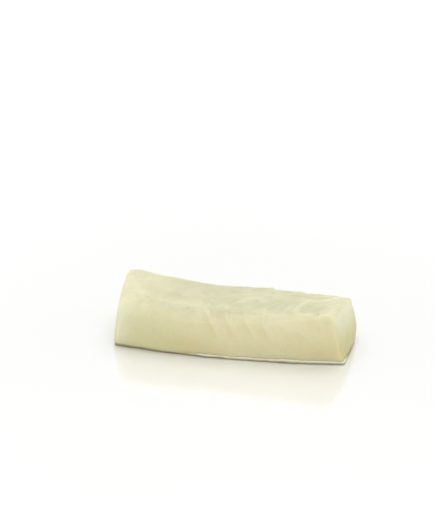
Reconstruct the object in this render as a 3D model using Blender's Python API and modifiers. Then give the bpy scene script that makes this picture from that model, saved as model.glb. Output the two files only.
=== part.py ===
"""Salted cod loin: a thick piece of cod fillet that lies on its skin.

Two nodes: the flesh, and the skin that runs under it and curls up along its back.
X runs along the loin, Y from the cut front face to the back, Z up. The origin is the
middle of the piece's box, on the surface that the skin rests on.
"""

import math

import bmesh
import bpy
from mathutils import Matrix, Vector

MM = 0.001

# Driving sizes
LENGTH = 160 * MM  # along the lower front edge
SKIN_THICKNESS = 1.2 * MM
SKIN_GAP = 0.3 * MM  # between the skin and the flesh above it
SKIN_LIP = 0.5 * MM  # how far the skin stands out past the cut flesh, all round

# Outlines in millimetres, at even steps from the left end to the right end
CREST_HEIGHT = (35.0, 35.2, 33.4, 33.0, 34.2, 36.2)  # upper front edge, before it is rounded
CREST_DEPTH = (1.0, -1.5, -2.5, -2.5, -1.5, 0.5)
CREST_RADIUS = (12.0, 13.0, 11.0, 8.0, 5.0, 3.5)
BACK_HEIGHT = (36.6, 35.6, 34.0, 33.8, 33.2, 32.2)  # upper back edge
BACK_DEPTH = (54.6, 47.0, 42.2, 42.4, 40.4, 40.0)
CURL_HEIGHT = (9.0, 8.0, 7.0, 7.0, 7.5, 8.0)  # lower back edge, where the skin ends
CURL_DEPTH = (58.0, 53.0, 49.0, 49.0, 47.5, 47.4)
FRONT_BOW = (-1.2, -5.4, -7.0, -6.8, -5.2, -1.2)  # lower front edge
FRONT_LIFT = (0.6, 0.5, 0.6, 1.0, 1.3, 0.8)  # its height above the surface below

# The underside is flat between the front lip and the back curl
LIP_WIDTH = 7 * MM
CURL_WIDTH = 15 * MM

# How far each side swells between its edges
FRONT_SWELL = 1.3 * MM
TOP_SWELL = 1.4 * MM
BACK_SWELL = 1.6 * MM
END_SWELL = 1.6 * MM

# Each end is a slanted knife cut: X at the foot and at the top, in front and at the back
END_HEIGHT, END_DEPTH = 34 * MM, 46 * MM
LEFT_FRONT, LEFT_BACK = (-0.6 * MM, 4.2 * MM), (-5.0 * MM, -1.4 * MM)
RIGHT_FRONT = (LENGTH + 0.6 * MM, LENGTH - 6.3 * MM)
RIGHT_BACK = (LENGTH + 6.0 * MM, LENGTH + 1.1 * MM)

# A hollow in the top between two flakes, near the right end
HOLLOW_AT = Vector((140 * MM, 11 * MM))
HOLLOW_HALF = Vector((17 * MM, 7 * MM))
HOLLOW_DEPTH = 1.6 * MM

# Cages: cuts along X, Y and Z for the flesh, and faces along X and Y for the skin
FLESH_CUTS = (26, 7, 5)
SKIN_FACES = (30, 12)
CROWDING = 0.55  # how much the loops crowd towards the edges, from 0 to 1
SKIN_CREASE = 0.8  # sharpness of the edges where the flesh meets the skin

FLESH_COLOUR = (0.76, 0.72, 0.49, 1.0)
SKIN_COLOUR = (0.30, 0.21, 0.06, 1.0)


def along(values, s):
    """The smooth curve through even steps of millimetres, at s from 0 to 1, in metres."""
    last = len(values) - 1
    place = s * last
    i = min(int(place), last - 1)
    t = place - i
    p0, p1, p2, p3 = (values[min(max(j, 0), last)] for j in range(i - 1, i + 3))
    leave, arrive = (p2 - p0) / 2, (p3 - p1) / 2
    cubic = 2 * (p1 - p2) + leave + arrive
    square = p2 - p1 - leave - cubic
    return MM * (p1 + t * (leave + t * (square + t * cubic)))


def crowded(t):
    """t from 0 to 1, moved towards the nearer end."""
    return t - CROWDING * math.sin(2 * math.pi * t) / (2 * math.pi)


def underside(s, y):
    """Height and slope of the skin's outer face at station s and depth y."""
    lift, curl = along(FRONT_LIFT, s), along(CURL_HEIGHT, s)
    into_lip = max(0.0, (along(FRONT_BOW, s) + LIP_WIDTH - y) / LIP_WIDTH)
    into_curl = max(0.0, (y - along(CURL_DEPTH, s) + CURL_WIDTH) / CURL_WIDTH)
    height = lift * into_lip**2 + curl * into_curl**2
    slope = 2 * curl * into_curl / CURL_WIDTH - 2 * lift * into_lip / LIP_WIDTH
    return height, slope


def flesh_underside(s, y):
    """Height of the flesh's lower face, which lies a skin and a gap inside the outer face."""
    height, slope = underside(s, y)
    return height + (SKIN_THICKNESS + SKIN_GAP) * math.hypot(1.0, slope)


def blend(a, b, t):
    return a + (b - a) * t


def end_cuts(s, y, z):
    """X at station s, which runs from the slanted left cut to the slanted right one."""
    up, back = z / END_HEIGHT, y / END_DEPTH
    left = blend(blend(*LEFT_FRONT, up), blend(*LEFT_BACK, up), back)
    right = blend(blend(*RIGHT_FRONT, up), blend(*RIGHT_BACK, up), back)
    return blend(left, right, s)


def round_crest(s, v, w):
    """v and w, moved so that the upper front edge becomes an arc."""
    radius = along(CREST_RADIUS, s)
    far_v = 1 - v * END_DEPTH / radius
    far_w = 1 - (1 - w) * END_HEIGHT / radius
    if min(far_v, far_w) <= 0:
        return v, w
    scale = max(far_v, far_w) / math.hypot(far_v, far_w)
    moved_v = (1 - far_v * scale) * radius / END_DEPTH
    moved_w = 1 - (1 - far_w * scale) * radius / END_HEIGHT
    return moved_v, moved_w


def hollow(x, y):
    """Depth of the hollow in the top at a point."""
    away = math.hypot((x - HOLLOW_AT.x) / HOLLOW_HALF.x, (y - HOLLOW_AT.y) / HOLLOW_HALF.y)
    return HOLLOW_DEPTH * math.exp(-(away**2))


def flesh_point(s, v, w):
    """A point of the flesh: s from 0 to 1 along it, v from front to back, w from bottom to top."""
    v, w = round_crest(s, v, w)
    front_y = along(FRONT_BOW, s) + SKIN_LIP
    back_y = along(CURL_DEPTH, s) - SKIN_LIP
    low_y = blend(front_y, back_y, v)
    low_front = Vector((front_y, flesh_underside(s, front_y)))
    low_back = Vector((back_y, flesh_underside(s, back_y)))
    crest = Vector((along(CREST_DEPTH, s), along(CREST_HEIGHT, s)))
    top_back = Vector((along(BACK_DEPTH, s), along(BACK_HEIGHT, s)))

    front = low_front.lerp(crest, w) - Vector((FRONT_SWELL * math.sin(math.pi * w), 0))
    back = low_back.lerp(top_back, w) + Vector((BACK_SWELL * math.sin(math.pi * w), 0))
    low = Vector((low_y, flesh_underside(s, low_y)))
    top = crest.lerp(top_back, v) + Vector((0, TOP_SWELL * math.sin(math.pi * v)))
    top.y -= hollow(s * LENGTH, top.x)

    flat = low_front.lerp(low_back, v).lerp(crest.lerp(top_back, v), w)
    y, z = front.lerp(back, v) + low.lerp(top, w) - flat
    bulge = END_SWELL * 16 * v * (1 - v) * w * (1 - w)
    return Vector((end_cuts(s, y, z) + bulge * (2 * s - 1), y, z))


def skin_point(s, v):
    """A point of the skin's outer face: s from 0 to 1 along it, v from front to back."""
    front_y, back_y = along(FRONT_BOW, s), along(CURL_DEPTH, s)
    y = blend(front_y, back_y, v)
    z = underside(s, y)[0]
    return Vector((end_cuts(s, y, z) + SKIN_LIP * (2 * s - 1), y, z))


def block_cage(cuts):
    """A cube from 0 to 1 whose edges along each axis carry that axis's number of cuts."""
    cage = bmesh.new()
    bmesh.ops.create_cube(cage, size=1.0, matrix=Matrix.Translation((0.5, 0.5, 0.5)))
    for axis, count in enumerate(cuts):
        lines = [e for e in cage.edges if e.verts[0].co[axis] != e.verts[1].co[axis]]
        bmesh.ops.subdivide_edges(cage, edges=lines, cuts=count, use_grid_fill=True)
    return cage


def crease_foot(cage):
    """Sharpens the cube's lower outer edges, where the flesh meets the skin."""
    crease = cage.edges.layers.float.new("crease_edge")
    for edge in cage.edges:
        a, b = (v.co for v in edge.verts)
        on_side = any(a[axis] == b[axis] and a[axis] in (0, 1) for axis in (0, 1))
        if a.z == b.z == 0 and on_side:
            edge[crease] = SKIN_CREASE


def solid(name, cage, colour, roughness, collection):
    """An object made from a cage, in the collection, with a material of its own."""
    mesh = bpy.data.meshes.new(name)
    cage.to_mesh(mesh)
    cage.free()
    mesh.shade_smooth()
    material = bpy.data.materials.new(name)
    material.use_nodes = True
    shader = material.node_tree.nodes["Principled BSDF"]
    shader.inputs["Base Color"].default_value = colour
    shader.inputs["Roughness"].default_value = roughness
    mesh.materials.append(material)
    made = bpy.data.objects.new(name, mesh)
    collection.objects.link(made)
    return made


def make_flesh(collection):
    cage = block_cage(FLESH_CUTS)
    crease_foot(cage)
    for vertex in cage.verts:
        s, v, w = vertex.co
        vertex.co = flesh_point(crowded(s), crowded(v), crowded(w))
    flesh = solid("flesh", cage, FLESH_COLOUR, 0.45, collection)
    rounding = flesh.modifiers.new("Rounding", "SUBSURF")
    rounding.levels = rounding.render_levels = 1
    return flesh


def make_skin(collection):
    cage = bmesh.new()
    bmesh.ops.create_grid(cage, x_segments=SKIN_FACES[0], y_segments=SKIN_FACES[1], size=1.0)
    for vertex in cage.verts:
        s, v = (vertex.co.x + 1) / 2, (vertex.co.y + 1) / 2
        vertex.co = skin_point(s, v)
    skin = solid("skin", cage, SKIN_COLOUR, 0.5, collection)
    sheet = skin.modifiers.new("Thickness", "SOLIDIFY")
    sheet.thickness = SKIN_THICKNESS
    sheet.offset = 1.0
    sheet.use_even_offset = True
    return skin


def stand_at_origin(objects):
    """Moves the objects together, so that the middle of their box's base is at the origin."""
    bpy.context.view_layer.update()
    graph = bpy.context.evaluated_depsgraph_get()
    corners = [Vector(c) for o in objects for c in o.evaluated_get(graph).bound_box]
    low = Vector(map(min, zip(*corners)))
    high = Vector(map(max, zip(*corners)))
    for o in objects:
        o.location = (-(low.x + high.x) / 2, -(low.y + high.y) / 2, -low.z)


def main():
    for old in list(bpy.data.objects):
        bpy.data.objects.remove(old, do_unlink=True)
    loin = bpy.data.collections.new("salted_cod_loin")
    bpy.context.scene.collection.children.link(loin)
    stand_at_origin([make_flesh(loin), make_skin(loin)])


main()
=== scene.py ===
"""Looks of the salted cod loin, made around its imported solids.

Two pieces stand for the two solids: the flaked flesh, and the mottled skin with its pale cut
edge. X runs along the loin, Y from the cut front face to the back, Z up. Shapes are worked out
in part.py's own numbers, from the left end of the lower front edge, and then moved to the frame.
"""

import math

import bmesh
import bpy
import numpy as np
from mathutils import Matrix, Vector, noise


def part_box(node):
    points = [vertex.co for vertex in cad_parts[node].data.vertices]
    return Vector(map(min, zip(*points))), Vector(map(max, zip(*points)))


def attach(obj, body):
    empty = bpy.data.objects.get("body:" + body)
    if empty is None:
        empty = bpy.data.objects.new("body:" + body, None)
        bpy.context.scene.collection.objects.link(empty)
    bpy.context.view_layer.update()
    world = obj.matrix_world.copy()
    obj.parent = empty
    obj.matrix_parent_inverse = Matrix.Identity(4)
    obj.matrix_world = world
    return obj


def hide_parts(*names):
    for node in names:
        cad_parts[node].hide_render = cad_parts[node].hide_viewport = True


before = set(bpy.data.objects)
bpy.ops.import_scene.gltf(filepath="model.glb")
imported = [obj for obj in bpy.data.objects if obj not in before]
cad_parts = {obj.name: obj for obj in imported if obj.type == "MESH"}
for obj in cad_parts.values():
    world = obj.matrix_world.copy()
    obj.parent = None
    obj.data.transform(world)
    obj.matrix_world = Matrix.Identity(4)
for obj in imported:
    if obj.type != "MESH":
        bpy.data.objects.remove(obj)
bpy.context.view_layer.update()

MM = 0.001

# Driving sizes and outlines, as in part.py; outlines are in millimetres from left to right
LENGTH = 160 * MM
SKIN_THICKNESS = 1.2 * MM
SKIN_LIP = 0.5 * MM
SUNK = 0.3 * MM  # how far the flesh is sunk into the skin
CREST_HEIGHT = (35.0, 35.2, 33.4, 33.0, 34.2, 36.2)
CREST_DEPTH = (1.0, -1.5, -2.5, -2.5, -1.5, 0.5)
CREST_RADIUS = (12.0, 13.0, 11.0, 8.0, 5.0, 3.5)
BACK_HEIGHT = (36.6, 35.6, 34.0, 33.8, 33.2, 32.2)
BACK_DEPTH = (54.6, 47.0, 42.2, 42.4, 40.4, 40.0)
CURL_HEIGHT = (9.0, 8.0, 7.0, 7.0, 7.5, 8.0)
CURL_DEPTH = (58.0, 53.0, 49.0, 49.0, 47.5, 47.4)
FRONT_BOW = (-1.2, -5.4, -7.0, -6.8, -5.2, -1.2)
FRONT_LIFT = (0.6, 0.5, 0.6, 1.0, 1.3, 0.8)
LIP_WIDTH, CURL_WIDTH = 7 * MM, 15 * MM
FRONT_SWELL, TOP_SWELL, BACK_SWELL, END_SWELL = 1.3 * MM, 1.4 * MM, 1.6 * MM, 1.6 * MM
END_HEIGHT, END_DEPTH = 34 * MM, 46 * MM
LEFT_FRONT, LEFT_BACK = (-0.6 * MM, 4.2 * MM), (-5.0 * MM, -1.4 * MM)
RIGHT_FRONT = (LENGTH + 0.6 * MM, LENGTH - 6.3 * MM)
RIGHT_BACK = (LENGTH + 6.0 * MM, LENGTH + 1.1 * MM)

# The fine meshes: cuts along X, Y and Z
FLESH_CUTS, FLESH_LEVELS = (34, 9, 7), 3
SKIN_CUTS = (220, 74, 3)
CORNER_NEAR, CORNER_FAR, CORNER_ROUNDS = 5 * MM, 9 * MM, 24  # how the corners are evened out

# Rounded edges of the block: two faces, each an axis and a side, and the radius in millimetres
# at even steps along the third axis. The knife leaves the right end sharper than the left one
BLOCK_SIZE = (LENGTH, END_DEPTH, END_HEIGHT)
ROUNDED_EDGES = (
    ((1, 0), (2, 1), CREST_RADIUS),
    ((1, 1), (2, 1), (5, 3, 2.5, 2.5, 2.5, 2)),
    ((1, 0), (2, 0), (1.8, 1.8, 0.2, 0.1, 0.1, 0.1)),
    ((1, 1), (2, 0), (0.3, 0.3)),
    ((0, 0), (1, 0), (3, 4)),
    ((0, 1), (1, 0), (1.5, 2.6, 5.0)),
    ((0, 0), (1, 1), (4, 6.0)),
    ((0, 1), (1, 1), (0.6, 2.5)),
    ((0, 0), (2, 0), (0.5, 0.5)),
    ((0, 1), (2, 0), (0.2, 0.2)),
    ((0, 0), (2, 1), (4, 4, 4.5)),
    ((0, 1), (2, 1), (6, 4.5, 2)),
)

# Seams between the flakes: where each meets the crest in millimetres from the left, the slope and
# the bend of its way down the front, how clearly it shows there, and its top and foot
SEAMS = tuple((at, 0.35, 0.013, 0.0, 30, 10) for at in range(-66, 30, 13)) + (
    (38.0, 0.5, 0.005, 0.05, 35, 16),
    (51.5, 0.55, 0.003, 0.15, 28, 15),
    (64.0, 0.62, 0.0, 0.65, 34, 14),
    (78.2, 0.42, 0.009, 0.65, 34, 15),
    (91.8, 0.25, 0.016, 0.6, 34, 17),
    (104.2, 0.08, 0.019, 0.6, 34, 14),
    (110.5, 0.92, 0.0, 0.35, 28, 14),
    (118.0, 0.95, 0.005, 0.45, 24, 12),
    (124.5, 0.95, 0.005, 0.2, 24, 12),
    (133.5, 0.2, 0.01, 0.2, 35, 26),
    (142.7, 0.05, 0.003, 0.35, 35, 25),
    (153.5, 0.15, 0.005, 0.3, 38, 8),
)

# Heights of the relief, and how the flesh and the skin's cut edge meet on the left
SEAM_STEP = 0.4 * MM
STREAK_RELIEF, WAVE_RELIEF, LUMP_RELIEF, GRAIN_RELIEF = 0.04 * MM, 0.2 * MM, 0.3 * MM, 0.12 * MM
RAGGED_RELIEF = 1.2 * MM
OVERHANG, TUCK = 1.1 * MM, 1.3 * MM
EDGE_WAVE, EDGE_LIFT, EDGE_BULGE, EDGE_SLANT = 0.6 * MM, 0.5 * MM, 0.3 * MM, 0.35 * MM

# Lines on the top that are both raised or pressed in and painted, as X and Y in millimetres
RIDGE = ((127.7, 10), (130.7, 17.5), (133.5, 20.7), (141, 21), (145, 24), (152, 33))
CREST_LINE = (
    (129, 0), (133, 0.6), (137, 0.5), (140.6, -0.4), (143, -0.4), (146, 0.3), (153, 0.3),
)
FOLD = ((80, 27), (88, 29), (93, 28), (99, 25), (105, 23))
ARC = ((87, 12), (90, 16), (94, 20), (98, 19), (103, 15))

# Marks on the top: a path, a half width and a strength, in millimetres. The first are raised or
# pressed in by their strength, the others paler and darker
RAISED_MARKS = (
    (((126.5, 3), *RIDGE), 2.2, 0.55),
    (CREST_LINE, 1.4, 0.2),
    (((131, 7), (138, 8), (146, 7)), 5.5, -1.2),
    (((141.5, 1), (142.5, 2.5)), 1.1, -0.5),
    (((140.5, 2), (140.5, 5)), 1.0, 0.3),
    (FOLD, 2.2, -0.3),
    (ARC, 2.6, 0.25),
    (((28, 5), (42, 4.5), (50, 4), (57, 3)), 4.0, 0.3),
    (((34, 13), (42, 12), (50, 10.5)), 3.0, -0.4),
    (((86, 6), (93, 4), (101, 3)), 2.2, -0.2),
    (((106, 0), (109, -1)), 3.0, 0.4),
    (((97, 42), (105, 42)), 1.6, 0.7),
    (((104, 42), (106, 42)), 1.0, 0.9),
    (((107, 32), (110, 28)), 1.0, -0.4),
    (((124, 31), (134, 27), (140, 27.5), (146, 31)), 2.4, -0.5),
    (((0, 54), (8, 50)), 8.0, 0.8),
)
# Paler marks: partly paler flesh, partly painted highlights along the raised ridge, the crest and
# the arc
PALE_MARKS = (
    (((32, 5), (36.5, 4.2), (42.3, 2.7), (48, 3.9), (58, 2.8), (66, 0.5)), 2.4, 0.7),
    (((66, 1), (72, 2.7), (79, 5.5)), 2.6, 0.35),
    (((91, 0), (94, -1)), 1.6, 0.3),
    (((104, 0), (107, -1), (111, -1)), 3.0, 0.25),
    (((127, 4), *RIDGE), 2.0, 0.6),
    (CREST_LINE, 1.2, 0.3),
    (ARC, 2.4, 0.3),
    (((2, 50), (6, 40), (12, 26), (14, 12)), 8.0, 0.15),
    (((149, 6), (150, 18), (152, 32)), 4.0, 0.5),
)
# Darker marks: partly darker flesh, partly painted shade in the hollow and pits near the crest on
# the right, in the fold and along the back edge where the top rolls away
DARK_MARKS = (
    (((36, 13), (44, 11), (56, 9)), 3.5, 0.5),
    (FOLD, 2.0, 0.4),
    (((86, 6), (93, 4), (101, 3)), 2.4, 0.15),
    (((114, 3), (122, 4)), 3.0, 0.15),
    (((110, 35), (125, 31), (134, 27), (140, 27.5), (147, 32)), 3.2, 0.8),
    (((107, 32), (110, 28)), 1.2, 0.5),
    (((131, 4), (136, 4.5), (140, 4)), 2.6, 0.8),
    (((142.5, 3.5), (147, 4)), 1.8, 0.6),
    (((132, 10), (138, 11)), 4.0, 0.15),
    (((142, 0.8), (142.3, 1.8)), 1.0, 0.4),
    (((56, 38), (75, 36), (95, 36)), 6.0, 0.3),
)

# Darker stains on the front: X and Z of the middle, half sizes and strength, in millimetres
STAINS = (
    (148, 8, 10, 6, 0.8),
    (137, 29.5, 3.5, 3.5, 0.45),
    (148.5, 29.5, 3.6, 4.2, 0.65),
    (143.5, 25, 2.0, 4.0, 0.25),
    (53, 8, 14, 7, 0.5),
)

# The camera looks at a point above the loin, from in front and to the right
AIM = Vector((-10.9, -1.2, 59.5)) * MM
AZIMUTH, ELEVATION = math.radians(10.78), math.radians(22)
DISTANCE, LENS = 0.8966, 90


# Shape functions, on arrays

def smooth(low, high, t):
    """0 below low, 1 above high, with a smooth step between them."""
    t = np.clip((t - low) / (high - low), 0, 1)
    return t * t * (3 - 2 * t)


def blend(a, b, t):
    return a + (b - a) * t


def along(values, s):
    """The smooth curve through even steps of millimetres, at s from 0 to 1, in metres."""
    points = np.array(values, float)
    last = len(points) - 1
    place = np.clip(s, 0, 1) * last
    i = np.minimum(place.astype(int), last - 1)
    t = place - i
    p0, p1, p2, p3 = (points[np.clip(i + k, 0, last)] for k in (-1, 0, 1, 2))
    leave, arrive = (p2 - p0) / 2, (p3 - p1) / 2
    cubic = 2 * (p1 - p2) + leave + arrive
    square = p2 - p1 - leave - cubic
    return MM * (p1 + t * (leave + t * (square + t * cubic)))


def underside(s, y):
    """Height and slope of the skin's outer face at station s and depth y."""
    lift, curl = along(FRONT_LIFT, s), along(CURL_HEIGHT, s)
    into_lip = np.maximum(0, (along(FRONT_BOW, s) + LIP_WIDTH - y) / LIP_WIDTH)
    into_curl = np.maximum(0, (y - along(CURL_DEPTH, s) + CURL_WIDTH) / CURL_WIDTH)
    height = lift * into_lip**2 + curl * into_curl**2
    slope = 2 * curl * into_curl / CURL_WIDTH - 2 * lift * into_lip / LIP_WIDTH
    return height, slope


def flesh_underside(s, y):
    """Height of the flesh's lower face, which is sunk a little into the skin."""
    height, slope = underside(s, y)
    return height + (SKIN_THICKNESS - SUNK) * np.hypot(1, slope)


def end_planes(y, z):
    """X of the left and the right knife cut at a depth and a height."""
    up, back = z / END_HEIGHT, y / END_DEPTH
    left = blend(blend(*LEFT_FRONT, up), blend(*LEFT_BACK, up), back)
    right = blend(blend(*RIGHT_FRONT, up), blend(*RIGHT_BACK, up), back)
    return left, right


def station(x, y, z):
    """s from 0 at the left cut to 1 at the right one."""
    left, right = end_planes(y, z)
    return (x - left) / (right - left)


def flesh_points(s, v, w):
    """Points of the flesh: s from 0 to 1 along it, v from front to back, w from bottom to top."""
    front_y = along(FRONT_BOW, s) + SKIN_LIP
    back_y = along(CURL_DEPTH, s) - SKIN_LIP
    low_y = blend(front_y, back_y, v)
    low_front = np.stack([front_y, flesh_underside(s, front_y)])
    low_back = np.stack([back_y, flesh_underside(s, back_y)])
    crest = np.stack([along(CREST_DEPTH, s), along(CREST_HEIGHT, s)])
    top_back = np.stack([along(BACK_DEPTH, s), along(BACK_HEIGHT, s)])
    across = np.array([[1.0], [0.0]])
    upward = np.array([[0.0], [1.0]])
    front = blend(low_front, crest, w) - across * FRONT_SWELL * np.sin(np.pi * w)
    back = blend(low_back, top_back, w) + across * BACK_SWELL * np.sin(np.pi * w)
    low = np.stack([low_y, flesh_underside(s, low_y)])
    top = blend(crest, top_back, v) + upward * TOP_SWELL * np.sin(np.pi * v)
    flat_low = blend(low_front, low_back, v)
    flat_top = blend(crest, top_back, v)
    y, z = blend(front, back, v) + blend(low, top, w) - blend(flat_low, flat_top, w)
    left, right = end_planes(y, z)
    bulge = END_SWELL * 16 * v * (1 - v) * w * (1 - w)
    return np.stack([blend(left, right, s) + bulge * (2 * s - 1), y, z], axis=1)


def skin_points(s, v, w):
    """Points of the skin: w runs from its outer face at 0 to its inner one at 1."""
    front_y, back_y = along(FRONT_BOW, s), along(CURL_DEPTH, s)
    y = blend(front_y, back_y, v)
    z, slope = underside(s, y)
    left, right = end_planes(y, z)
    x = blend(left, right, s) + SKIN_LIP * (2 * s - 1)
    steep = np.hypot(1, slope)
    rise = SKIN_THICKNESS * w / steep
    return np.stack([x, y - slope * rise, z + rise], axis=1)


def rounded(unit):
    """Points of a cube from 0 to 1, moved so that the edges between its faces are arcs."""
    points = unit.copy()
    for (a, side_a), (b, side_b), radii in ROUNDED_EDGES:
        third = points[:, 3 - a - b]
        radius = MM * np.interp(third, np.linspace(0, 1, len(radii)), radii)
        far_a = 1 - np.abs(side_a - points[:, a]) * BLOCK_SIZE[a] / radius
        far_b = 1 - np.abs(side_b - points[:, b]) * BLOCK_SIZE[b] / radius
        near = (far_a > 0) & (far_b > 0)
        longest = np.maximum(far_a, far_b)
        scale = np.where(near, longest / np.maximum(np.hypot(far_a, far_b), 1e-9), 1)
        for axis, side, far in ((a, side_a, far_a), (b, side_b, far_b)):
            inward = (1 - far * scale) * radius / BLOCK_SIZE[axis]
            moved = np.where(side == 0, inward, 1 - inward)
            points[:, axis] = np.where(near, moved, points[:, axis])
    return points


# Meshes

def block_cage(cuts):
    """A cube from 0 to 1 whose edges along each axis carry that axis's number of cuts."""
    cage = bmesh.new()
    bmesh.ops.create_cube(cage, size=1.0, matrix=Matrix.Translation((0.5, 0.5, 0.5)))
    for axis, count in enumerate(cuts):
        lines = [e for e in cage.edges if e.verts[0].co[axis] != e.verts[1].co[axis]]
        bmesh.ops.subdivide_edges(cage, edges=lines, cuts=count, use_grid_fill=True)
    return cage


def vectors(mesh, name="position"):
    """A vector attribute of a mesh's vertices, as an array of rows."""
    flat = np.empty(len(mesh.vertices) * 3, np.float32)
    mesh.attributes[name].data.foreach_get("vector", flat)
    return flat.reshape(-1, 3).astype(float)


def set_positions(mesh, points):
    mesh.attributes["position"].data.foreach_set("vector", points.astype(np.float32).ravel())
    mesh.update()


def normals(mesh):
    flat = np.empty(len(mesh.vertices) * 3, np.float32)
    mesh.vertex_normals.foreach_get("vector", flat)
    return flat.reshape(-1, 3).astype(float)


def paint(mesh, name, values):
    """Stores a number for each vertex, for the material to read."""
    layer = mesh.attributes.new(name, "FLOAT", "POINT")
    layer.data.foreach_set("value", values.astype(np.float32))


def rumple(points, size, seed, octaves=3):
    """Soft noise from about -1 to 1 at the points, with lumps of the given size."""
    shift = Vector((seed * 17.3, seed * 5.7, seed * 11.9))
    rows = (points / size).tolist()
    return np.array([noise.fractal(Vector(p) + shift, 1.0, 2.0, octaves) for p in rows])


def relax_corners(mesh, unit, points):
    """Evens out the points near the block's upper corners, where three rounded edges meet."""
    near = np.ones(len(unit))
    for axis, size in enumerate(BLOCK_SIZE):
        gap = np.minimum(unit[:, axis], 1 - unit[:, axis]) * size
        near *= 1 - smooth(CORNER_NEAR, CORNER_FAR, gap)
    ends = np.empty(len(mesh.edges) * 2, np.int32)
    mesh.edges.foreach_get("vertices", ends)
    a, b = ends.reshape(-1, 2).T
    count = np.bincount(ends, minlength=len(points))[:, None]
    for _ in range(CORNER_ROUNDS):
        total = np.zeros_like(points)
        np.add.at(total, a, points[b])
        np.add.at(total, b, points[a])
        points += (near * unit[:, 2])[:, None] * (total / count - points)
    return points


def cube_object(name, cuts, levels=0):
    """A smooth-shaded cube from 0 to 1 with evenly cut faces, and the places of its points."""
    mesh = bpy.data.meshes.new(name)
    cage = block_cage(cuts)
    cage.to_mesh(mesh)
    cage.free()
    made = bpy.data.objects.new(name, mesh)
    bpy.context.scene.collection.objects.link(made)
    if levels:
        finer = made.modifiers.new("Finer", "SUBSURF")
        finer.subdivision_type = "SIMPLE"
        finer.levels = finer.render_levels = levels
        graph = bpy.context.evaluated_depsgraph_get()
        fine = bpy.data.meshes.new_from_object(made.evaluated_get(graph), depsgraph=graph)
        made.modifiers.clear()
        made.data = fine
        bpy.data.meshes.remove(mesh)
        fine.name = name
    made.data.shade_smooth()
    return made, vectors(made.data)


# The flesh

def near_path(across, up, path):
    """Distance from a path of straight steps, for points of a plane."""
    nearest = np.full(len(across), np.inf)
    for (x0, y0), (x1, y1) in zip(path, path[1:]):
        step_x, step_y = x1 - x0, y1 - y0
        t = ((across - x0) * step_x + (up - y0) * step_y) / (step_x**2 + step_y**2)
        t = np.clip(t, 0, 1)
        nearest = np.minimum(nearest, np.hypot(across - x0 - t * step_x, up - y0 - t * step_y))
    return nearest


def marked(points, out, marks, seed):
    """Strength of the marks at each point of the top, with wavering borders."""
    x, y = points.T[:2] / MM
    waver = rumple(points, 5 * MM, seed, 2)
    total = np.zeros(len(x))
    for path, width, strength in marks:
        away = near_path(x, y, path) / width + 0.3 * waver
        total += strength * np.exp(-(away**2))
    return total * smooth(0, 0.6, out[:, 2])


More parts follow.
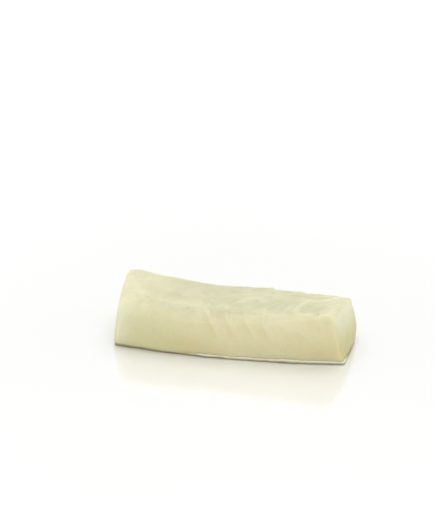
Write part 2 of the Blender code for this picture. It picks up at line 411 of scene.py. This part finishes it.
def flesh_piece():
    made, unit = cube_object("flaked_flesh", FLESH_CUTS, FLESH_LEVELS)
    mesh = made.data
    set_positions(mesh, relax_corners(mesh, unit, flesh_points(*rounded(unit).T)))
    points, out = vectors(mesh), normals(mesh)
    x, y, z = points.T / MM
    s = np.clip(station(*points.T), 0, 1)
    front = smooth(0.25, 0.8, -out[:, 1])
    top = smooth(0.3, 0.85, out[:, 2])
    end = smooth(0.4, 0.85, np.abs(out[:, 0]))
    back = smooth(0.25, 0.8, out[:, 1])
    drop = np.maximum(0, along(CREST_HEIGHT, s) / MM - z)
    depth = np.maximum(0, y - along(CREST_DEPTH, s) / MM)

    # Seams run back to the right from the crest, across the top and down the front
    down = 0.35 * drop + 0.013 * drop**2
    inward = 0.03 * depth**2
    wander = 0.5 * rumple(points, 20 * MM, 1)
    patchy = smooth(-0.35, 0.35, rumple(points, 11 * MM, 2))
    right = smooth(0.25, 0.6, s)
    broken = blend(0.45, 1, smooth(-0.3, 0.3, rumple(points, 6 * MM, 10)))
    on_rest = 0.35 * top * patchy * blend(0.2, 1, right) + 0.12 * end
    on_rest += 0.5 * back * blend(0.3, 1, patchy)
    step, line, shade = np.zeros((3, len(x)))
    for at, slope, bend, clear, head, foot in SEAMS:
        past = x - at - slope * drop - bend * drop**2 - inward + wander
        between = smooth(foot - 3, foot + 6, z) * (1 - smooth(head - 4, head, z))
        shown = clear * front * between + on_rest
        rise = smooth(-1.0, 1.0, past)
        before, after = np.exp(np.minimum(past, 0) / 5), np.exp(-np.maximum(past, 0) / 6)
        step += shown * (rise * after - (1 - rise) * before) / 2
        line += shown * broken * np.exp(-(((past - 0.5) / 1.0) ** 2))
        shade += shown * (1 - rise) * np.exp(np.minimum(past, 0) / 5.5) * (1 - smooth(24, 32, z))

    # Streaks lie along the seams, waves across the top
    swept = np.stack([x - down - inward, 0.15 * y, 0.15 * z], axis=1) * MM
    streaks = rumple(swept, 2.2 * MM, 8, 2) * blend(0.2, 1, right)
    waves = rumple(np.stack([x - down - inward, 0.4 * y, 0.4 * z], axis=1) * MM, 9 * MM, 9, 2)
    lumps = rumple(points, 14 * MM, 3)
    grains = rumple(points, 2.6 * MM, 4, 2)
    relief = SEAM_STEP * step + STREAK_RELIEF * streaks * (1 - 0.6 * end)
    relief += WAVE_RELIEF * waves * top * blend(0.4, 1, right) + LUMP_RELIEF * lumps
    relief += GRAIN_RELIEF * grains * blend(0.4, 1, top)
    relief += MM * marked(points, out, RAISED_MARKS, 6)

    # The upper back edge is ragged on the right
    rear = along(BACK_DEPTH, s) / MM - y
    ragged = np.exp(-((rear / 5) ** 2)) * smooth(24, 31, z) * smooth(0.6, 0.75, s)
    relief += RAGGED_RELIEF * ragged * rumple(points, 6 * MM, 13, 2)

    stain = np.zeros(len(x))
    for middle_x, middle_z, half_x, half_z, strength in STAINS:
        away = ((x - middle_x) / half_x) ** 2 + ((z - middle_z) / half_z) ** 2
        stain += strength * np.exp(-away) * front

    points += out * relief[:, None]
    # On the left the flesh hangs over the tucked edge of the skin
    near_front = 1 - smooth(0, 2.2, y - along(FRONT_BOW, s) / MM)
    points[:, 2] -= OVERHANG * (1 - smooth(0.3, 0.42, s)) * near_front * (1 - smooth(2, 9, z))
    set_positions(mesh, points)

    above_skin = z - flesh_underside(s, points[:, 1]) / MM
    paint(mesh, "seam", np.clip(line, 0, 1))
    paint(mesh, "shade", np.clip(shade, 0, 1))
    # Painted shade: the flesh grows darker towards the bottom of the front, the ends and the back
    paint(mesh, "low", np.clip(drop / 34, 0, 1) * np.maximum(np.maximum(front, end), back))
    # Painted light that lifts the shade where the flesh meets the skin
    paint(mesh, "foot", (1 - smooth(0.2, 1.4, above_skin)) * (1 - top))
    paint(mesh, "back", back)
    paint(mesh, "stain", np.clip(stain, 0, 1))
    # Paler marks are partly painted highlights, darker marks partly painted shade
    paint(mesh, "pale", np.clip(marked(points, out, PALE_MARKS, 11), 0, 1))
    paint(mesh, "dark", np.clip(marked(points, out, DARK_MARKS, 12), 0, 1))
    # Painted highlight along the left edge and the right ridge of the front
    left_highlight = 1 - smooth(0, 0.1, s)
    right_highlight = 0.15 * (1 - smooth(0, 0.015, 1 - s)) * smooth(4, 14, drop)
    paint(mesh, "rim", front * (left_highlight + right_highlight) * (1 - 0.6 * smooth(0.75, 1, drop / 34)))
    paint(mesh, "streak", 0.5 + 0.5 * streaks)
    paint(mesh, "top", top)
    # Upward faces get a greyer, darker colour, partly the top's own and partly painted shade
    # against the light from above; it is held back along the crest, which leaves a painted
    # highlight there
    ends = smooth(0.04, 0.3, s) * (1 - 0.4 * smooth(0.88, 1, s))
    crest_left = (1 - smooth(2, 12, depth)) * (1 - smooth(0.35, 0.5, s))
    crest_right = (1 - smooth(0.5, 3.5, depth)) * smooth(0.46, 0.6, s)
    crest_right *= 1 - 0.5 * smooth(0.85, 0.95, s)
    upward = np.clip((out[:, 2] - 0.38) / 0.62, 0, 1)
    crest = (1 - 0.25 * crest_left) * (1 - 0.5 * crest_right)
    paint(mesh, "dull_and_shade", upward * blend(0.7, 1, ends) * crest)
    paint(mesh, "end", end)
    paint(mesh, "warm", front * smooth(0.3, 0.4, s) * smooth(4, 14, drop))
    paint(mesh, "plain", front * (1 - smooth(0.25, 0.5, s)) * smooth(3, 12, drop))
    return made


def skin_piece():
    made, unit = cube_object("scaled_skin", SKIN_CUTS)
    mesh = made.data
    s, v, w = unit.T
    points = skin_points(s, v, w)
    # The cut edge bulges a little between its two faces, waves, and tucks under on the left
    rim = 4 * w * (1 - w) * EDGE_BULGE - w * EDGE_SLANT
    front_edge = 1 - smooth(0, 0.06, v)
    wave = EDGE_WAVE * rumple(points, 9 * MM, 6)
    tuck = TUCK * (1 - smooth(0.25, 0.42, s))
    left_edge = 1 - smooth(0, 0.02, s)
    points[:, 1] += np.where(v == 0, -rim, 0) + np.where(v == 1, rim, 0)
    points[:, 1] += (wave + tuck) * front_edge
    points[:, 0] += np.where(s == 0, -rim, 0) + np.where(s == 1, rim, 0) + 1.6 * MM * left_edge
    points[:, 0] -= 0.8 * MM * smooth(0.98, 1, s) * smooth(0.5, 0.7, v)
    lift = np.maximum(0, EDGE_LIFT * rumple(points, 11 * MM, 7))
    points[:, 2] += lift * (1 - smooth(0, 0.08, v))
    # The lower half of the cut edge reaches down to the table
    points[:, 2] -= 0.9 * along(FRONT_LIFT, s) * (1 - w) * (1 - smooth(0, 0.03, v))
    set_positions(mesh, points)
    paint(mesh, "inner", w)
    # Painted light: the outer face is paler near the front edge, which lifts the shade under the
    # lifted lip
    paint(mesh, "hem_fill_light", (1 - smooth(0, 0.07, v)) * smooth(0.3, 0.4, s))
    paint(mesh, "shaded", np.maximum(smooth(0.06, 0.3, v), 1 - smooth(0.27, 0.4, s)))
    return made


# Materials

class Nodes:
    """Short calls for building a node tree."""

    def __init__(self, name):
        self.material = bpy.data.materials.new(name)
        self.material.use_nodes = True
        self.tree = self.material.node_tree
        self.shader = self.tree.nodes["Principled BSDF"]

    def add(self, kind, **settings):
        node = self.tree.nodes.new(kind)
        for name, value in settings.items():
            setattr(node, name, value)
        return node

    def link(self, source, target):
        self.tree.links.new(source, target)

    def fill(self, socket, value):
        """A socket's number or colour, or a link into it."""
        if isinstance(value, (int, float)):
            socket.default_value = value
        elif isinstance(value, tuple):
            socket.default_value = (*value, 1.0)
        else:
            self.link(value, socket)

    def attribute(self, name):
        return self.add("ShaderNodeAttribute", attribute_name=name).outputs["Fac"]

    def ramp(self, value, low, high, to_low=0.0, to_high=1.0):
        node = self.add("ShaderNodeMapRange", interpolation_type="SMOOTHSTEP")
        limits = {"From Min": low, "From Max": high, "To Min": to_low, "To Max": to_high}
        for socket, number in limits.items():
            node.inputs[socket].default_value = number
        self.link(value, node.inputs["Value"])
        return node.outputs["Result"]

    def math(self, operation, a, b):
        node = self.add("ShaderNodeMath", operation=operation)
        self.fill(node.inputs[0], a)
        self.fill(node.inputs[1], b)
        return node.outputs[0]

    def times(self, a, b):
        return self.math("MULTIPLY", a, b)

    def mix(self, fac, a, b):
        node = self.add("ShaderNodeMix", data_type="RGBA")
        for place, value in ((0, fac), (6, a), (7, b)):
            self.fill(node.inputs[place], value)
        return node.outputs[2]

    def place(self, size, stretch=(1, 1, 1), warp=None):
        """Object coordinates in units of a size in metres, stretched along the axes."""
        where = self.add("ShaderNodeTexCoord").outputs["Object"]
        mapping = self.add("ShaderNodeMapping")
        mapping.inputs["Scale"].default_value = tuple(1 / (size * k) for k in stretch)
        self.link(where, mapping.inputs["Vector"])
        if warp is None:
            return mapping.outputs["Vector"]
        moved = self.add("ShaderNodeVectorMath", operation="ADD")
        self.link(mapping.outputs["Vector"], moved.inputs[0])
        self.link(warp, moved.inputs[1])
        return moved.outputs[0]

    def noise(self, size, detail=3.0, roughness=0.55, stretch=(1, 1, 1), colour=False):
        node = self.add("ShaderNodeTexNoise")
        node.inputs["Scale"].default_value = 1.0
        node.inputs["Detail"].default_value = detail
        node.inputs["Roughness"].default_value = roughness
        self.link(self.place(size, stretch), node.inputs["Vector"])
        return node.outputs["Color" if colour else "Fac"]

    def cells(self, size, feature, stretch=(1, 1, 1), warp=None):
        node = self.add("ShaderNodeTexVoronoi", feature=feature)
        node.inputs["Scale"].default_value = 1.0
        self.link(self.place(size, stretch, warp), node.inputs["Vector"])
        return node.outputs["Distance"]

    def bump(self, height, distance, strength=1.0, under=None):
        node = self.add("ShaderNodeBump")
        node.inputs["Strength"].default_value = strength
        node.inputs["Distance"].default_value = distance
        self.link(height, node.inputs["Height"])
        if under is not None:
            self.link(under, node.inputs["Normal"])
        return node.outputs["Normal"]

    def finish(self, colour, normal=None, **constants):
        self.link(colour, self.shader.inputs["Base Color"])
        if normal is not None:
            self.link(normal, self.shader.inputs["Normal"])
        for name, value in constants.items():
            self.shader.inputs[name.replace("_", " ")].default_value = value
        return self.material


def flesh_material():
    n = Nodes("cod_flesh")
    # Darker towards the bottom of the front, the ends and the back: painted shade
    low = n.ramp(n.attribute("low"), 0.1, 0.9)
    front = n.mix(low, (0.87, 0.83, 0.57), (0.75, 0.69, 0.40))
    end = n.mix(low, (0.80, 0.785, 0.56), (0.57, 0.54, 0.225))
    # The back's darker colour is painted shade, against the stronger light that falls on it
    back = n.mix(low, (0.70, 0.665, 0.44), (0.62, 0.56, 0.31))
    colour = n.mix(n.attribute("end"), n.mix(n.attribute("back"), front, back), end)
    colour = n.mix(n.times(n.attribute("plain"), 0.35), colour, (0.67, 0.65, 0.35))
    # Upward faces: partly their own greyer colour, partly painted shade; lighter along the crest,
    # a painted highlight
    colour = n.mix(n.attribute("dull_and_shade"), colour, (0.54, 0.525, 0.345))
    # Paler marks, partly painted highlights on the ridge, the crest and the arc
    colour = n.mix(n.times(n.attribute("pale"), 0.8), colour, (0.74, 0.725, 0.52))
    # Darker marks, partly painted shade in hollows, pits, the fold and along the back edge
    colour = n.mix(n.times(n.attribute("dark"), 0.7), colour, (0.53, 0.51, 0.31))
    # Painted highlight along the left edge and the right ridge of the front
    colour = n.mix(n.times(n.attribute("rim"), 0.7), colour, (0.88, 0.87, 0.68))
    colour = n.mix(n.times(n.attribute("shade"), 0.65), colour, (0.69, 0.56, 0.23))
    colour = n.mix(n.times(n.attribute("stain"), 0.6), colour, (0.71, 0.58, 0.27))
    cloud = n.ramp(n.noise(14 * MM, 3, 0.5), 0.36, 0.64)
    colour = n.mix(n.times(cloud, 0.18), colour, (0.84, 0.81, 0.57))
    warmth = n.ramp(n.noise(9 * MM, 2, 0.5, stretch=(1.0, 1.0, 1.6)), 0.45, 0.68)
    colour = n.mix(n.times(warmth, n.times(n.attribute("warm"), 0.3)), colour, (0.84, 0.69, 0.42))
    patch = n.ramp(n.noise(6 * MM, 3, 0.5), 0.5, 0.68)
    colour = n.mix(n.times(patch, n.times(n.attribute("dull_and_shade"), 0.4)), colour, (0.54, 0.52, 0.32))
    mottle = n.ramp(n.noise(2.4 * MM, 4, 0.6), 0.42, 0.66)
    amount = n.ramp(n.attribute("dull_and_shade"), 0.0, 1.0, 0.1, 0.28)
    colour = n.mix(n.times(mottle, amount), colour, (0.58, 0.54, 0.31))
    streak = n.ramp(n.attribute("streak"), 0.45, 0.9)
    few = n.ramp(n.attribute("end"), 0.0, 1.0, 0.12, 0.05)
    colour = n.mix(n.times(streak, few), colour, (0.85, 0.82, 0.62))
    colour = n.mix(n.times(n.attribute("seam"), 0.4), colour, (0.88, 0.86, 0.68))
    # Painted light: the flesh just above the skin is lightened, lifting the shade where they meet
    colour = n.mix(n.times(n.attribute("foot"), 0.4), colour, (0.88, 0.84, 0.60))
    fibres = n.noise(1.0 * MM, 3, 0.6, stretch=(3.0, 1.0, 1.0))
    pores = n.noise(0.5 * MM, 2, 0.6)
    normal = n.bump(pores, 0.05 * MM, 0.5, under=n.bump(fibres, 0.10 * MM, 0.6))
    return n.finish(
        colour, normal, Roughness=0.45, IOR=1.38, Subsurface_Weight=0.75,
        Subsurface_Radius=(1.0, 0.9, 0.65), Subsurface_Scale=6 * MM,
    )


def skin_material():
    n = Nodes("cod_skin")
    drift = n.noise(5 * MM, 2, 0.5, colour=True)
    net = n.cells(3.6 * MM, "DISTANCE_TO_EDGE", stretch=(1.4, 1, 1), warp=drift)
    spots = n.ramp(net, 0.05, 0.42)
    broad = n.ramp(n.noise(20 * MM, 3, 0.5, stretch=(3.0, 1, 1)), 0.38, 0.62)
    dark = n.mix(broad, (0.09, 0.055, 0.008), (0.16, 0.11, 0.02))
    light = n.mix(broad, (0.23, 0.16, 0.035), (0.31, 0.24, 0.065))
    colour = n.mix(spots, light, dark)
    fine = n.ramp(n.noise(1.3 * MM, 4, 0.65), 0.36, 0.64)
    colour = n.mix(n.times(fine, 0.2), colour, (0.42, 0.35, 0.14))
    wrinkle = n.noise(3 * MM, 3, 0.6, stretch=(9.0, 1, 1))
    folds = n.ramp(wrinkle, 0.58, 0.72)
    colour = n.mix(n.times(folds, 0.3), colour, (0.50, 0.43, 0.20))
    # Painted light near the front edge, lifting the shade under the lip
    colour = n.mix(n.times(n.attribute("hem_fill_light"), 0.7), colour, (0.60, 0.55, 0.32))
    # The cut edge is pale above and darker olive below, partly the skin's own layers and partly
    # painted shade; where it is shaded, further back and on the left, it is darker still, which is
    # painted shade
    inner = n.attribute("inner")
    pale = n.mix(n.ramp(inner, 0.25, 0.7), (0.50, 0.45, 0.23), (0.86, 0.83, 0.60))
    edge = n.mix(n.attribute("shaded"), pale, (0.42, 0.38, 0.18))
    colour = n.mix(n.ramp(inner, 0.02, 0.15), colour, edge)
    scales = n.cells(1.3 * MM, "F1", stretch=(1.3, 1, 1))
    normal = n.bump(wrinkle, 0.5 * MM, 0.5, under=n.bump(scales, 0.12 * MM, 0.6))
    return n.finish(colour, normal, Roughness=0.5, Specular_IOR_Level=0.35)


def floor_material():
    n = Nodes("white_table")
    tint = n.ramp(n.noise(0.3, 2, 0.5), 0.3, 0.7)
    near = n.mix(tint, (0.865, 0.865, 0.86), (0.875, 0.875, 0.87))
    # Painted light: the table grows whiter away from the loin, so the far table reads white while
    # shadows near the loin stay
    away = n.add("ShaderNodeVectorMath", operation="LENGTH")
    n.link(n.add("ShaderNodeTexCoord").outputs["Object"], away.inputs[0])
    colour = n.mix(n.ramp(away.outputs["Value"], 0.15, 0.6), near, (0.98, 0.98, 0.975))
    return n.finish(colour, Roughness=0.12, IOR=4.0)


# The stage

def make_floor():
    bpy.ops.mesh.primitive_plane_add(size=8, location=(0, 0, -0.0002))
    floor = bpy.context.object
    floor.name = "table"
    floor.data.materials.append(floor_material())


def make_sun(name, towards, angle, strength):
    """A soft light from a direction, the same all over the table."""
    light = bpy.data.lights.new(name, "SUN")
    light.angle = math.radians(angle)
    light.energy = strength
    lamp = bpy.data.objects.new(name, light)
    lamp.rotation_euler = Vector(towards).to_track_quat("-Z", "Y").to_euler()
    bpy.context.scene.collection.objects.link(lamp)


def make_world():
    world = bpy.data.worlds.new("studio")
    world.use_nodes = True
    world.node_tree.nodes["Background"].inputs["Color"].default_value = (1, 1, 1, 1)
    world.node_tree.nodes["Background"].inputs["Strength"].default_value = 0.85
    bpy.context.scene.world = world
    bpy.context.scene.view_settings.view_transform = "Standard"


def make_camera():
    camera = bpy.data.cameras.new("camera")
    camera.lens = LENS
    camera.clip_start = 0.01
    seen = bpy.data.objects.new("camera", camera)
    level = math.cos(ELEVATION)
    away = Vector((math.sin(AZIMUTH) * level, -math.cos(AZIMUTH) * level, math.sin(ELEVATION)))
    seen.location = AIM + away * DISTANCE
    seen.rotation_euler = (-away).to_track_quat("-Z", "Y").to_euler()
    bpy.context.scene.collection.objects.link(seen)
    bpy.context.scene.camera = seen


def place_in_frame(made, node, material):
    """Moves a piece from part.py's own numbers to the frame, and puts it in place of its solid."""
    made.data.transform(Matrix.Translation(SHIFT))
    made.data.materials.append(material)
    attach(made, "root")
    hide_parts(node)


def corners_of(points):
    return points.min(axis=0), points.max(axis=0)


def frame_shift():
    """From part.py's own numbers to the frame: the skin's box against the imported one."""
    grid = np.linspace(0, 1, 121)
    s, v, w = (a.ravel() for a in np.meshgrid(grid, grid, (0.0, 1.0), indexing="ij"))
    low, high = corners_of(skin_points(s, v, w))
    solid_low, solid_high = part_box("skin")
    middle = (Vector(solid_low) + Vector(solid_high)) / 2 - (Vector(low) + Vector(high)) / 2
    return Vector((middle.x, middle.y, 0.0))


SHIFT = frame_shift()
place_in_frame(flesh_piece(), "flesh", flesh_material())
place_in_frame(skin_piece(), "skin", skin_material())
make_floor()
make_sun("key", (0.0, -0.4, -1.0), 50, 1.33)
make_world()
make_camera()
